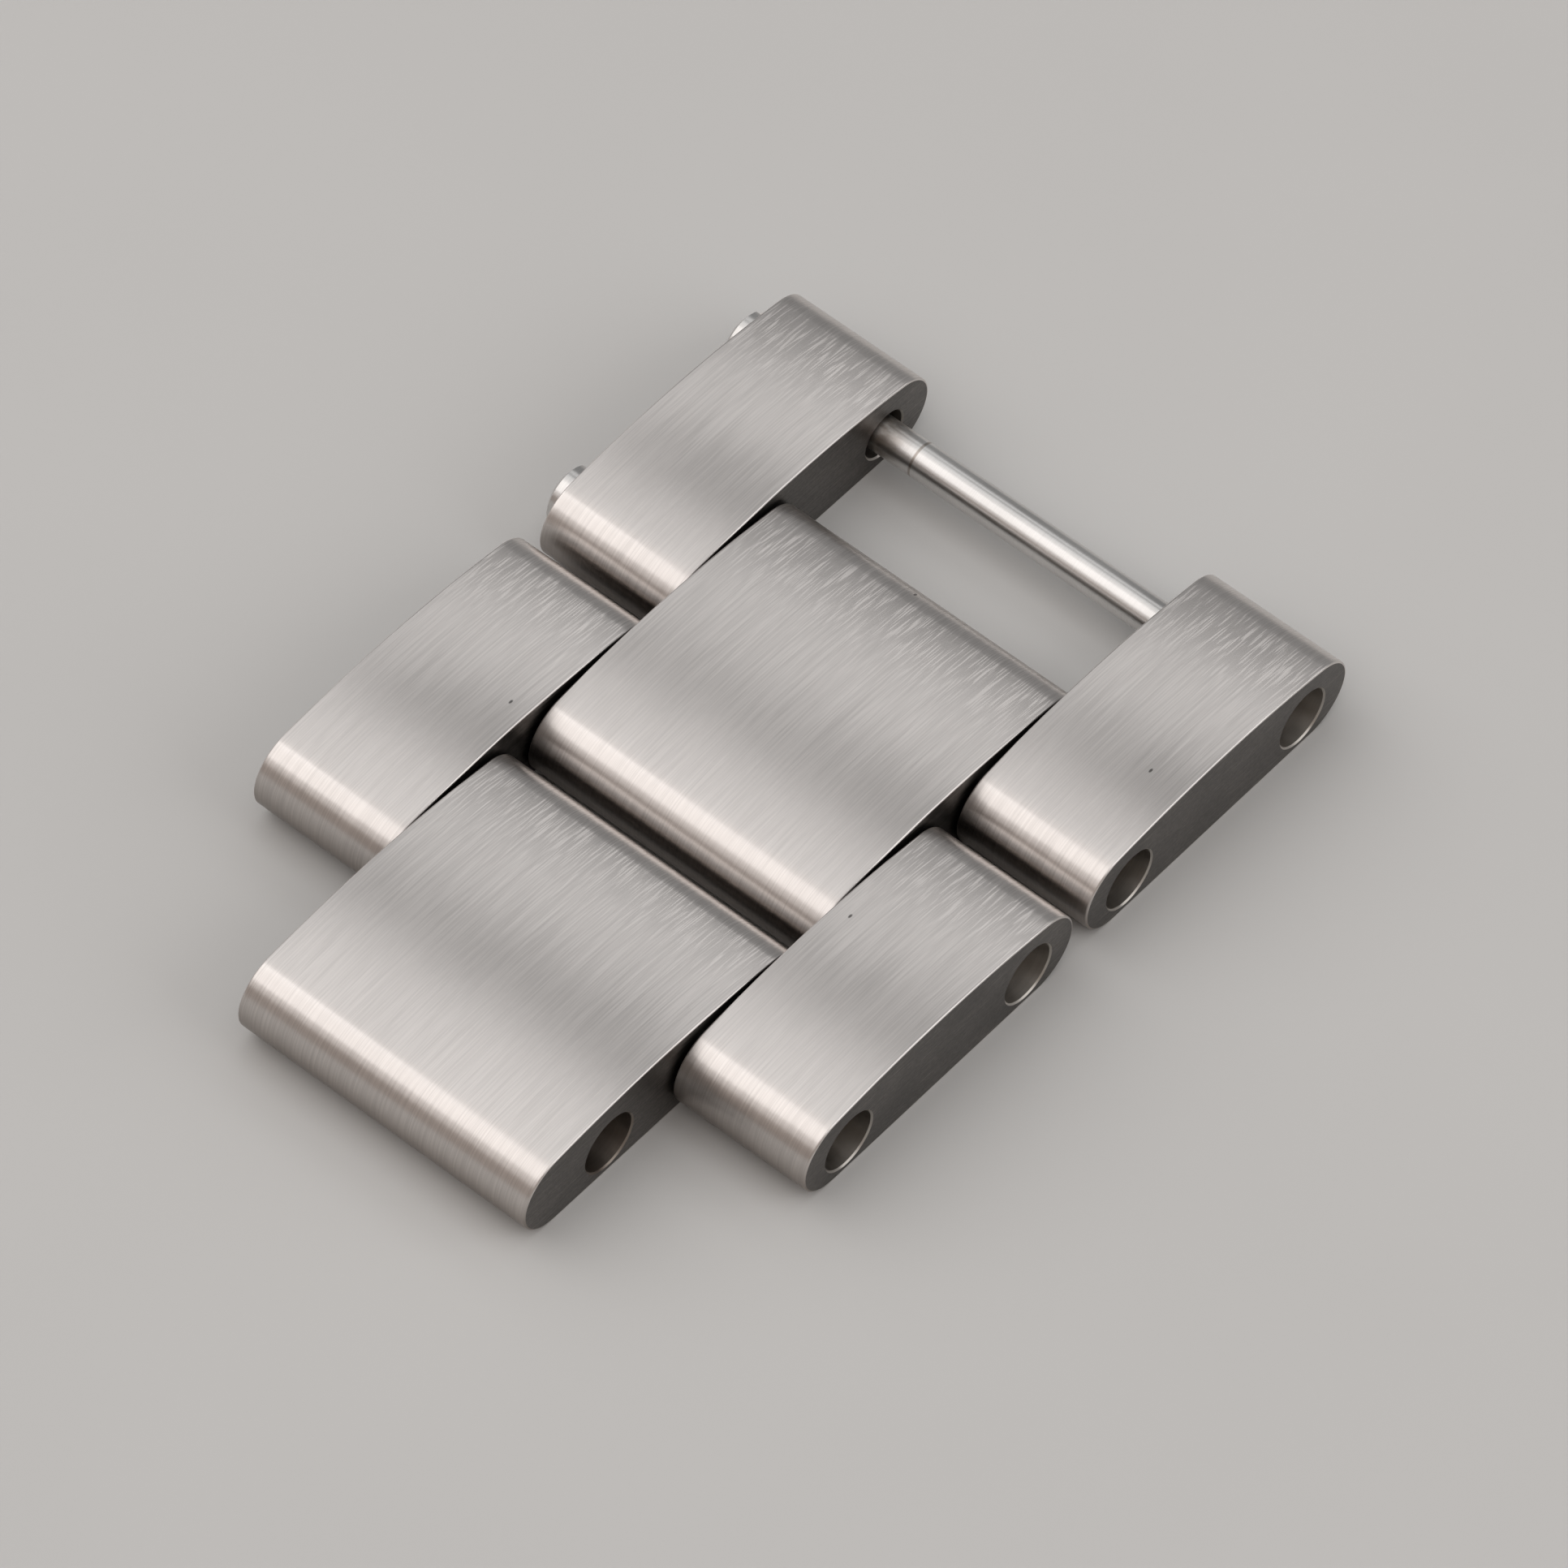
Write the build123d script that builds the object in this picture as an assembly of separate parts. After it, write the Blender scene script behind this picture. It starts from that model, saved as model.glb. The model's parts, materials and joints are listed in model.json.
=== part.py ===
from build123d import *

import math
import os

# Two rows of a three-piece watch bracelet, hinged on slotted screw pins
# X runs along the pins, Y along the bracelet and Z up from the flat undersides

# Links, with every size in millimetres

row_pitch = 10.0
outer_pin_spacing = 6.35
row_gap = 0.48
side_gap = 0.1
outer_link_width = 3.8
centre_link_width = 8.4
nose_radius = 1.14
crown_rise = 0.25
edge_break = 0.06

# Bores through the links

mouth_diameter = 1.6
mouth_depth = 1.25
mouth_chamfer = 0.04
bore_floor = 0.2

# Screw pins

rod_diameter = 0.93
head_height = 1.2
dome_rise = 0.25
slot_width = 0.34
slot_depth = 0.42
thread_length = 1.4
neck_length = 0.25
neck_depth = 0.08
tip_chamfer = 0.12
tip_recess = 0.1
back_out = 0.75

# Sleeves pressed into the centre links

sleeve_wall = 0.28
sleeve_recess = 1.0
sleeve_chamfer = 0.06

# Clearances between the pieces

head_clearance = 0.03
seat_gap = 0.02
shank_clearance = 0.2
turning_clearance = 0.05
press_clearance = 0.005

# How far each screw head is turned, in degrees

slot_turns = [35, 110, 40, 46]

# Sizes that follow from the ones above

link_length = row_pitch - row_gap
thickness = 2 * nose_radius + crown_rise
bore_height = bore_floor + mouth_diameter / 2
inner_face = centre_link_width / 2 + side_gap
outer_face = inner_face + outer_link_width
running_diameter = rod_diameter + 2 * turning_clearance
sleeve_radius = running_diameter / 2 + sleeve_wall
centre_bore_diameter = 2 * (sleeve_radius + press_clearance)
tip_place = outer_face - mouth_depth - tip_recess
overrun = nose_radius


def link_body(width, left_face, middle):
    """A link with a flat underside, two round noses and a crowned top."""
    reach = link_length / 2 - nose_radius
    crown_radius = (reach**2 + thickness * crown_rise) / (2 * crown_rise)
    crown_centre = thickness - crown_radius
    stretch = crown_radius / (crown_radius - nose_radius)
    shoulder = reach * stretch
    shoulder_height = crown_centre + (nose_radius - crown_centre) * stretch
    tip = reach + nose_radius
    outline = [
        Line((-reach, 0), (reach, 0)),
        ThreePointArc((reach, 0), (tip, nose_radius), (shoulder, shoulder_height)),
        ThreePointArc((shoulder, shoulder_height), (0, thickness), (-shoulder, shoulder_height)),
        ThreePointArc((-shoulder, shoulder_height), (-tip, nose_radius), (-reach, 0)),
    ]
    side = Plane.YZ * make_face(outline)
    body = extrude(side, width)
    rims = body.faces().sort_by(Axis.X)
    body = chamfer(rims[0].edges() + rims[-1].edges(), edge_break)
    return Pos(left_face, middle, 0) * body


def turned(outline, place):
    """A round body about the pin axis at a place along the band, from points (x, radius)."""
    points = [(outline[0][0], 0), *outline, (outline[-1][0], 0)]
    face = make_face(Polyline(*points, close=True))
    return Pos(0, place, bore_height) * revolve(face, Axis.X)


def through_bore(diameter, left_face, right_face, place):
    """Cutter for a plain bore with a small chamfer at each of two faces."""
    radius = diameter / 2
    rim = radius + mouth_chamfer
    flare = rim + overrun
    points = [
        (left_face - overrun, flare),
        (left_face + mouth_chamfer, radius),
        (right_face - mouth_chamfer, radius),
        (right_face + overrun, flare),
    ]
    return turned(points, place)


def outer_link(side, middle):
    """Outer link with a wide open mouth at its outer face and a narrower bore inside."""
    left_face = inner_face if side > 0 else -outer_face
    link = link_body(outer_link_width, left_face, middle)
    inner_diameter = running_diameter
    if side < 0:
        inner_diameter = rod_diameter + 2 * shank_clearance
    inner = inner_diameter / 2
    mouth = mouth_diameter / 2
    floor = outer_face - mouth_depth
    points = [
        (inner_face - overrun, inner + overrun + mouth_chamfer),
        (inner_face + mouth_chamfer, inner),
        (floor, inner),
        (floor, mouth),
        (outer_face - mouth_chamfer, mouth),
        (outer_face + overrun, mouth + mouth_chamfer + overrun),
    ]
    cut = [(side * x, radius) for x, radius in points]
    for end in (-1, 1):
        link -= turned(cut, middle + end * outer_pin_spacing / 2)
    return link


def centre_link(middle):
    """Centre link with two plain bores, one for each neighbouring row's pin."""
    right_face = centre_link_width / 2
    link = link_body(centre_link_width, -right_face, middle)
    for end in (-1, 1):
        place = middle + end * (row_pitch - outer_pin_spacing) / 2
        link -= through_bore(centre_bore_diameter, -right_face, right_face, place)
    return link


def sleeve(place):
    """Tube that fills a centre link's bore down to the rod."""
    end = centre_link_width / 2 - sleeve_recess
    points = [
        (-end, sleeve_radius - sleeve_chamfer),
        (sleeve_chamfer - end, sleeve_radius),
        (end - sleeve_chamfer, sleeve_radius),
        (end, sleeve_radius - sleeve_chamfer),
    ]
    tube = turned(points, place)
    hole = [(-end - overrun, running_diameter / 2), (end + overrun, running_diameter / 2)]
    return tube - turned(hole, place)


def screw_pin(place, shift, slot_turn):
    """Slotted screw with a domed head, a plain rod and a threaded tip."""
    seat = mouth_depth - outer_face - seat_gap
    crest = seat - head_height
    rod = rod_diameter / 2
    neck = rod - neck_depth
    thread_start = tip_place - thread_length
    shank = [
        (seat - dome_rise, rod),
        (thread_start - neck_length, rod),
        (thread_start - neck_length, neck),
        (thread_start, neck),
        (thread_start, rod),
        (tip_place - tip_chamfer, rod),
        (tip_place, rod - tip_chamfer),
    ]
    pin = turned(shank, place) + screw_head(crest, seat, place)
    slot = Box(2 * slot_depth, mouth_diameter, slot_width)
    pin -= Pos(crest, place, bore_height) * Rot(slot_turn, 0, 0) * slot
    return Pos(shift, 0, 0) * pin


def screw_head(crest, seat, place):
    """Domed round head between its crest and its seat."""
    radius = mouth_diameter / 2 - head_clearance
    dome = (radius**2 + dome_rise**2) / (2 * dome_rise)
    lean = math.asin(radius / dome) / 2
    halfway = (crest + dome * (1 - math.cos(lean)), dome * math.sin(lean))
    outline = [
        Line((seat, 0), (seat, radius)),
        Line((seat, radius), (crest + dome_rise, radius)),
        ThreePointArc((crest + dome_rise, radius), halfway, (crest, 0)),
        Line((crest, 0), (seat, 0)),
    ]
    return Pos(0, place, bore_height) * revolve(make_face(outline), Axis.X)


def build():
    """All pieces by name, two rows lying flat, the first row's near pin at the origin."""
    nodes = {}
    half_outer = outer_pin_spacing / 2
    half_centre = (row_pitch - outer_pin_spacing) / 2
    for row in (1, 2):
        start = (row - 1) * row_pitch
        nodes[f"left_outer_link_{row}"] = outer_link(-1, start + half_outer)
        nodes[f"right_outer_link_{row}"] = outer_link(1, start + half_outer)
        nodes[f"centre_link_{row}"] = centre_link(start - half_centre)
        nodes[f"near_sleeve_{row}"] = sleeve(start - 2 * half_centre)
        nodes[f"far_sleeve_{row}"] = sleeve(start)
        shift = -back_out if row == 2 else 0
        nodes[f"near_screw_pin_{row}"] = screw_pin(start, shift, slot_turns[2 * row - 2])
        nodes[f"far_screw_pin_{row}"] = screw_pin(
            start + outer_pin_spacing, shift, slot_turns[2 * row - 1]
        )
    return nodes


os.makedirs("parts", exist_ok=True)
for name, solid in build().items():
    export_step(solid, f"parts/{name}.step")
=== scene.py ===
"""Two rows of a satin steel watch bracelet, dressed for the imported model."""

import json
import math

import bpy
from mathutils import Matrix, Vector


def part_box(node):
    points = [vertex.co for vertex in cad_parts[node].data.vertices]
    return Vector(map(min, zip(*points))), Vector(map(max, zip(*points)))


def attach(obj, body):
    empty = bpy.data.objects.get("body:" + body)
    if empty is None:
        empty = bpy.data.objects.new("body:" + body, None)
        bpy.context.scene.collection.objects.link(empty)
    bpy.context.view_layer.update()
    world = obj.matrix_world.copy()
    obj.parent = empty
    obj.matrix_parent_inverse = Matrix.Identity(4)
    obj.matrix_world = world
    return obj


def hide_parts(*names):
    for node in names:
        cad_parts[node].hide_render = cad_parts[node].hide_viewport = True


bl_info = {
    "name": "Watch bracelet link",
    "version": (1, 0, 0),
    "blender": (4, 5, 0),
    "location": "View3D > Sidebar > Bracelet",
    "description": "Makes the links, screw pins and sleeves of a three-piece steel watch bracelet",
    "category": "Object",
}

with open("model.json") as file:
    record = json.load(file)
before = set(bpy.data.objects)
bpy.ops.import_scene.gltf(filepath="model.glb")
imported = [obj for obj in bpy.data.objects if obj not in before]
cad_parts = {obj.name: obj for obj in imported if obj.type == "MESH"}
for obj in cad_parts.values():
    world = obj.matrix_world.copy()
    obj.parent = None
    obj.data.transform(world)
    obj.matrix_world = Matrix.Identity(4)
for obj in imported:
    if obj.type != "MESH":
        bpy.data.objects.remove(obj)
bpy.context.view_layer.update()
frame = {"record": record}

# Units

MM = 0.001
TURN = 2 * math.pi

# Lamps over the links: name, lean towards the front in degrees, half their spread in degrees, brightness.
# All stand a little to the left.

LAMP_DISTANCE = 400 * MM
LAMPS_LEFT = -0.36
LAMPS_UP = 0.93
LAMPS = (
    ("low_front_lamp", 54.0, 9.0, 0.45),
    ("front_lamp", 26.0, 19.0, 1.1),
    ("middle_lamp", -8.0, 14.5, 0.73),
    ("back_lamp", -39.0, 7.5, 0.59),
)

# Lamp on the right: way to it, half its width and depth as shares of its distance, brightness

RIGHT_LAMP = ((0.75, 0.3, 0.42), 0.4, 0.5, 1.3)

# Gap between the floor and the links' underside

FLOOR_DROP = 0.01 * MM

# Steps of the meshes

UNDERSIDE_STEPS = 8
NOSE_STEPS = 40
CROWN_STEPS = 28
EDGE_STEPS = 5
BORE_STEPS = 96
TURNED_STEPS = 72
DOME_STEPS = 16
THREAD_STEPS = 80

# Vertices closer than this become one, edges sharper than this stay hard, and a face that looks along the
# pins by at least this share is a flat side

MERGE_DISTANCE = 0.0002 * MM
HARD_ANGLE = math.radians(30)
SIDEWAYS = 0.9995

# Fineness of the markings, in grains to the metre along X, Y and Z

HAIRLINES = (26000.0, 520.0, 520.0)
NICKS = (38000.0, 1500.0, 1500.0)
TOP_CLOUDS = (240.0, 160.0, 160.0)
PITS = (420.0, 200.0, 200.0)
SIDE_GRAIN = (9000.0, 800.0, 22000.0)
SIDE_SPECKS = (14000.0, 9000.0, 14000.0)
SIDE_CLOUDS = (300.0, 420.0, 420.0)
SIDE_SCRATCHES = (2000.0, 900.0, 30000.0)
TURNING_LINES = (38000.0, 60.0, 60.0)
SMEARS = (700.0, 900.0, 900.0)
ROUND_SCRATCHES = (1800.0, 30000.0, 30000.0)
ROD_PATCHES = (1500.0, 2600.0, 2600.0)
FLOOR_MOTTLE = (60.0, 60.0, 60.0)

# How much each marking lightens or darkens the brushed tops, and how far it tips them. The edges'
# lightening is a painted highlight, and the nicks' a painted glint.

HAIR_SHADE = 0.09
# Painted glint: the nicks are lightened, mostly on the far side of the tops.
NICK_PAINTED_GLINT = 0.12
# Painted highlight: the rounded long edges are lightened.
EDGE_PAINTED_HIGHLIGHT = 0.06
PIT_SHADE = -0.75
HAIR_TIP = 0.009
NICK_TIP = -0.042

# Share of the pits' cells that stay empty, and a pit's radius in cells, full and fading

NO_PIT = 0.86
PIT_RADIUS = (0.008, 0.018)

# How far the brushing and the turning lines spread the gloss along the pins

TOP_GLOSS = 0.75
TURNED_GLOSS = 0.6

# Roughness, from and to

TOP_ROUGHNESS = (0.28, 0.31)
NOSE_ROUGHER = 0.04
EDGE_ROUGHER = 0.06
SIDE_ROUGHNESS = (0.3, 0.44)
BORE_ROUGHNESS = (0.3, 0.42)
INNER_ROUGHNESS = (0.35, 0.5)
ROD_ROUGHNESS = (0.28, 0.34)
HEAD_ROUGHNESS = (0.28, 0.33)
SLEEVE_ROUGHNESS = (0.25, 0.35)
SCRATCH_ROUGHER = 0.08

# Depth of the turning lines

BORE_RINGS = 0.004 * MM
SLEEVE_RINGS = 0.003 * MM
PIN_RINGS = 0.001 * MM

# Height of the noses up to which the painted shade reaches, full and fading: it darkens and browns the low
# noses in place of a dark reflection from below

NOSE_SHADE_FULL = 0.6 * MM
NOSE_SHADE_END = 1.95 * MM

# Names of the pieces in one row

OUTER_LINKS = ("left_outer_link", "right_outer_link")
ROWS = (1, 2)
ENDS = ("near", "far")


def body_of(node):
    """Name of the body that carries a CAD node."""
    for body, nodes in frame["record"]["behaviour"]["bodies"].items():
        if node in nodes:
            return body
    raise ValueError(f"no body carries {node}")


def middle(node):
    """Centre of a CAD node's box."""
    low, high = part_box(node)
    return (Vector(low) + Vector(high)) / 2


def size(node):
    """Length of a CAD node's box along each axis."""
    low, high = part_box(node)
    return Vector(high) - Vector(low)


# Sizes that a user can change


def length(name, description, default):
    """A length property in metres."""
    return bpy.props.FloatProperty(
        name=name,
        description=description,
        default=default,
        min=0,
        precision=5,
        unit="LENGTH",
        subtype="DISTANCE",
    )


def angle(name, description, default):
    """An angle property, with its default in degrees."""
    return bpy.props.FloatProperty(
        name=name, description=description, default=math.radians(default), unit="ROTATION"
    )


def colour(name, description, default):
    """A colour property."""
    return bpy.props.FloatVectorProperty(
        name=name, description=description, default=default, size=3, min=0, max=1, subtype="COLOR"
    )


class LinkSizes(bpy.types.PropertyGroup):
    """Shape and finish of the six links, whose side, bore and low nose colours are darkened as painted
    shade.
    """

    nose_radius: length("Nose radius", "Radius of the round noses", 1.14 * MM)
    edge_radius: length("Edge radius", "Rounding of the long side edges", 0.05 * MM)
    mouth_diameter: length("Mouth diameter", "Open bore at an outer face", 1.6 * MM)
    mouth_depth: length("Mouth depth", "Depth of the wide part of an outer link's bore", 1.25 * MM)
    mouth_rim: length("Mouth rim", "Small chamfer round each bore mouth", 0.04 * MM)
    shank_bore: length("Shank bore", "Clear bore in the left links", 1.33 * MM)
    thread_bore: length("Thread bore", "Bore that holds a screw's tip in the right links", 1.03 * MM)
    top_colour: colour("Top colour", "Colour of the brushed tops and noses", (0.66, 0.625, 0.603))
    # Painted shade: the noses are darkened and browned towards the underside, in place of a dark reflection
    # from below.
    nose_painted_shade_colour: colour("Low colour", "Colour of the noses next to the underside", (0.27, 0.235, 0.21))
    # Painted shade: the flat sides are much darker than the tops, standing in for a dark reflection in
    # them.
    side_painted_shade_colour: colour("Side colour", "Colour of the flat side faces", (0.125, 0.117, 0.11))
    # Painted shade: the bore walls are coloured darker than the tops, standing in for the shade inside the
    # bores.
    bore_painted_shade_colour: colour("Bore colour", "Colour inside the outer links' bores", (0.46, 0.43, 0.395))
    inner_bore_painted_shade_colour: colour("Inner bore colour", "Colour inside the centre links' bores", (0.26, 0.225, 0.195))


class PinSizes(bpy.types.PropertyGroup):
    """Shape and finish of the four screw pins, with painted shade on the rod next to the left link."""

    rod_diameter: length("Rod diameter", "Diameter of the plain rod", 0.93 * MM)
    head_height: length("Head height", "Length of the head along the pin", 1.2 * MM)
    dome_rise: length("Dome rise", "Height of the head's dome", 0.25 * MM)
    head_rim: length("Head rim", "Chamfer at the head's rims", 0.03 * MM)
    slot_width: length("Slot width", "Width of the screwdriver slot", 0.34 * MM)
    slot_depth: length("Slot depth", "Depth of the slot below the crest", 0.42 * MM)
    thread_length: length("Thread length", "Length of the thread at the tip", 1.4 * MM)
    thread_pitch: length("Thread pitch", "Travel for one turn", 0.25 * MM)
    thread_depth: length("Thread depth", "Depth of the thread", 0.07 * MM)
    neck_length: length("Neck length", "Length of the groove before the thread", 0.25 * MM)
    neck_depth: length("Neck depth", "Depth of that groove", 0.08 * MM)
    tip_chamfer: length("Tip chamfer", "Chamfer at the tip", 0.12 * MM)
    slot_turns: bpy.props.FloatVectorProperty(
        name="Slot turns",
        description="How far each head's slot is turned, from the near pin on",
        size=4,
        default=[math.radians(turn) for turn in (35, 110, 40, 46)],
        unit="ROTATION",
    )
    ring_place: length("Rubbed ring", "From the left link's face to the ring on the rod", 1.1 * MM)
    rod_colour: colour("Rod colour", "Colour of the polished rod and head", (0.72, 0.705, 0.69))
    # Painted shade: the rod is browned and darkened next to the left link, standing in for its shadow and
    # dark reflection; the rubbed ring in this colour is wear.
    rod_wear_and_shade_colour: colour("Film colour", "Brown film on the rod next to the left link", (0.3, 0.25, 0.21))


class SleeveSizes(bpy.types.PropertyGroup):
    """Shape and finish of the four sleeves, whose colour is darkened as painted shade."""

    bore_diameter: length("Bore diameter", "Running bore for the rod", 1.03 * MM)
    rim: length("Rim", "Chamfer at each end", 0.06 * MM)
    # Painted shade: the sleeves are dark, standing in for the shade inside the centre links' bores.
    sleeve_painted_shade_colour: colour("Sleeve colour", "Colour of the turned steel", (0.3, 0.275, 0.25))


class StageSizes(bpy.types.PropertyGroup):
    """Floor, lamps and camera."""

    floor_colour: colour("Floor colour", "Colour of the plain floor", (0.57, 0.565, 0.555))
    floor_size: length("Floor size", "Width of the floor", 2.4)
    lens: bpy.props.FloatProperty(
        name="Lens",
        description="Focal length on a 36 mm wide sensor",
        default=298.1,
        subtype="DISTANCE_CAMERA",
    )
    distance: length("Distance", "From the camera to the point it looks at", 294.7 * MM)
    aim: bpy.props.FloatVectorProperty(
        name="Aim",
        description="Point the camera looks at",
        size=3,
        default=(0.57 * MM, 6.81 * MM, 1.0 * MM),
        unit="LENGTH",
        subtype="XYZ",
    )
    azimuth: angle("Azimuth", "Turn of the camera round the object", 34.8)
    elevation: angle("Elevation", "Height of the camera", 51.5)
    roll: angle("Roll", "Tilt of the camera", 6.2)
    front_colour: colour("Front colour", "Colour of the room in front", (0.36, 0.31, 0.28))
    back_colour: colour("Back colour", "Colour of the room behind", (0.27, 0.27, 0.27))


# Node trees


class Tree:
    """A node tree with short calls for adding and joining nodes."""

    def __init__(self, tree):
        self.tree = tree

    def node(self, kind, inputs=(), **settings):
        """Adds a node, sets its properties, and joins or sets its inputs by name or number."""
        made = self.tree.nodes.new(kind)
        for key, value in settings.items():
            setattr(made, key, value)
        for key, value in dict(inputs).items():
            if isinstance(value, bpy.types.NodeSocket):
                self.link(value, made.inputs[key])
            else:
                made.inputs[key].default_value = value
        return made

    def link(self, start, end):
        """Joins a node's output to another's input."""
        self.tree.links.new(start, end)

    def math(self, operation, first, second=0.0, third=0.0):
        """A math node's result."""
        inputs = {0: first, 1: second, 2: third}
        return self.node("ShaderNodeMath", inputs, operation=operation).outputs[0]

    def split(self, vector):
        """The three parts of a vector."""
        return self.node("ShaderNodeSeparateXYZ", {0: vector}).outputs

    def join(self, x, y, z):
        """A vector from three numbers."""
        return self.node("ShaderNodeCombineXYZ", {0: x, 1: y, 2: z}).outputs[0]


def geometry_tree(name, inputs):
    """A Geometry Nodes tree with named inputs, as (tree, input sockets by name, output node)."""
    group = bpy.data.node_groups.new(name, "GeometryNodeTree")
    group.interface.new_socket("Geometry", in_out="INPUT", socket_type="NodeSocketGeometry")
    for label, kind in inputs.items():
        group.interface.new_socket(label, in_out="INPUT", socket_type=f"NodeSocket{kind}")
    group.interface.new_socket("Geometry", in_out="OUTPUT", socket_type="NodeSocketGeometry")
    tree = Tree(group)
    source = group.nodes.new("NodeGroupInput")
    sockets = {socket.name: socket for socket in source.outputs if socket.name}
    return tree, sockets, group.nodes.new("NodeGroupOutput")


def sample(tree, geometry, value, index):
    """A vector read from another geometry at an index."""
    inputs = {"Geometry": geometry, "Value": value, "Index": index}
    return tree.node("GeometryNodeSampleIndex", inputs, data_type="FLOAT_VECTOR", domain="POINT").outputs[0]


def unit_grid(tree, across, around):
    """A grid whose two directions run from nought to one, as (mesh, across share, around share)."""
    inputs = {"Size X": 1.0, "Size Y": 1.0, "Vertices X": across, "Vertices Y": around}
    grid = tree.node("GeometryNodeMeshGrid", inputs)
    place = tree.split(tree.node("GeometryNodeInputPosition").outputs[0])
    return grid.outputs[0], tree.math("ADD", place[0], 0.5), tree.math("ADD", place[1], 0.5)


def moved(tree, mesh, place):
    """A mesh with each vertex at a new place."""
    return tree.node("GeometryNodeSetPosition", {"Geometry": mesh, "Position": place}).outputs[0]


def merged(tree, mesh):
    """A mesh with its doubled vertices merged."""
    inputs = {"Geometry": mesh, "Distance": MERGE_DISTANCE}
    return tree.node("GeometryNodeMergeByDistance", inputs).outputs[0]


def flipped(tree, mesh):
    """A mesh with its faces turned over."""
    return tree.node("GeometryNodeFlipFaces", {0: mesh}).outputs[0]


def cut(tree, mesh, tool):
    """A mesh with another cut out of it."""
    inputs = {0: mesh, 1: tool}
    return tree.node("GeometryNodeMeshBoolean", inputs, operation="DIFFERENCE", solver="EXACT").outputs[0]


def kept(tree, mesh, name, value):
    """Keeps a number on each vertex under a name, for the materials."""
    inputs = {"Geometry": mesh, "Name": name, "Value": value}
    settings = {"data_type": "FLOAT", "domain": "POINT"}
    return tree.node("GeometryNodeStoreNamedAttribute", inputs, **settings).outputs[0]


def sideways(tree):
    """One on the faces that look along the pins, and nought elsewhere."""
    normal = tree.split(tree.node("GeometryNodeInputNormal").outputs[0])
    return tree.math("GREATER_THAN", tree.math("ABSOLUTE", normal[0]), SIDEWAYS)


def smoothed(tree, mesh):
    """Smooth faces, but flat ones where they look along the pins, and hard sharp edges."""
    faces = tree.node("GeometryNodeSetShadeSmooth", {0: mesh, 2: True}, domain="FACE")
    inputs = {0: faces.outputs[0], 1: sideways(tree), 2: False}
    ends = tree.node("GeometryNodeSetShadeSmooth", inputs, domain="FACE")
    bend = tree.node("GeometryNodeInputMeshEdgeAngle").outputs["Unsigned Angle"]
    inputs = {0: ends.outputs[0], 1: tree.math("GREATER_THAN", bend, HARD_ANGLE), 2: False}
    return tree.node("GeometryNodeSetShadeSmooth", inputs, domain="EDGE").outputs[0]


def painted(tree, mesh, material, chosen=True):
    """A mesh with a material on its chosen faces."""
    return tree.node("GeometryNodeSetMaterial", {0: mesh, 1: chosen, 2: material}).outputs[0]


def finish_tree(tree, mesh, output):
    """Ends a tree in plain faces."""
    real = tree.node("GeometryNodeRealizeInstances", {0: mesh})
    tree.link(real.outputs[0], output.inputs[0])
    return tree.tree


def turned_tree():
    """Turns an outline of (x, radius) points about the X axis, with an optional thread."""
    inputs = {
        "Segments": "Int",
        "Height": "Float",
        "Place": "Float",
        "Thread start": "Float",
        "Thread end": "Float",
        "Thread pitch": "Float",
        "Thread depth": "Float",
        "Material": "Material",
    }
    tree, given, output = geometry_tree("Turned body", inputs)
    count = tree.node("GeometryNodeAttributeDomainSize", {0: given["Geometry"]}).outputs["Point Count"]
    around = tree.math("ADD", given["Segments"], 1)
    mesh, along, turn = unit_grid(tree, count, around)
    index = tree.math("ROUND", tree.math("MULTIPLY", along, tree.math("SUBTRACT", count, 1)))
    position = tree.node("GeometryNodeInputPosition").outputs[0]
    point = tree.split(sample(tree, given["Geometry"], position, index))
    lead = tree.math("DIVIDE", point[0], given["Thread pitch"])
    wave = tree.math("PINGPONG", tree.math("MULTIPLY", tree.math("SUBTRACT", lead, turn), 2), 1)
    after = tree.math("GREATER_THAN", point[0], given["Thread start"])
    before = tree.math("LESS_THAN", point[0], given["Thread end"])
    depth = tree.math("MULTIPLY", tree.math("MULTIPLY", after, before), given["Thread depth"])
    radius = tree.math("SUBTRACT", point[1], tree.math("MULTIPLY", wave, depth))
    round_axis = tree.math("MULTIPLY", turn, TURN)
    y = tree.math("MULTIPLY_ADD", radius, tree.math("COSINE", round_axis), given["Place"])
    z = tree.math("MULTIPLY_ADD", radius, tree.math("SINE", round_axis), given["Height"])
    mesh = flipped(tree, merged(tree, moved(tree, mesh, tree.join(point[0], y, z))))
    return finish_tree(tree, painted(tree, smoothed(tree, mesh), given["Material"]), output)


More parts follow.
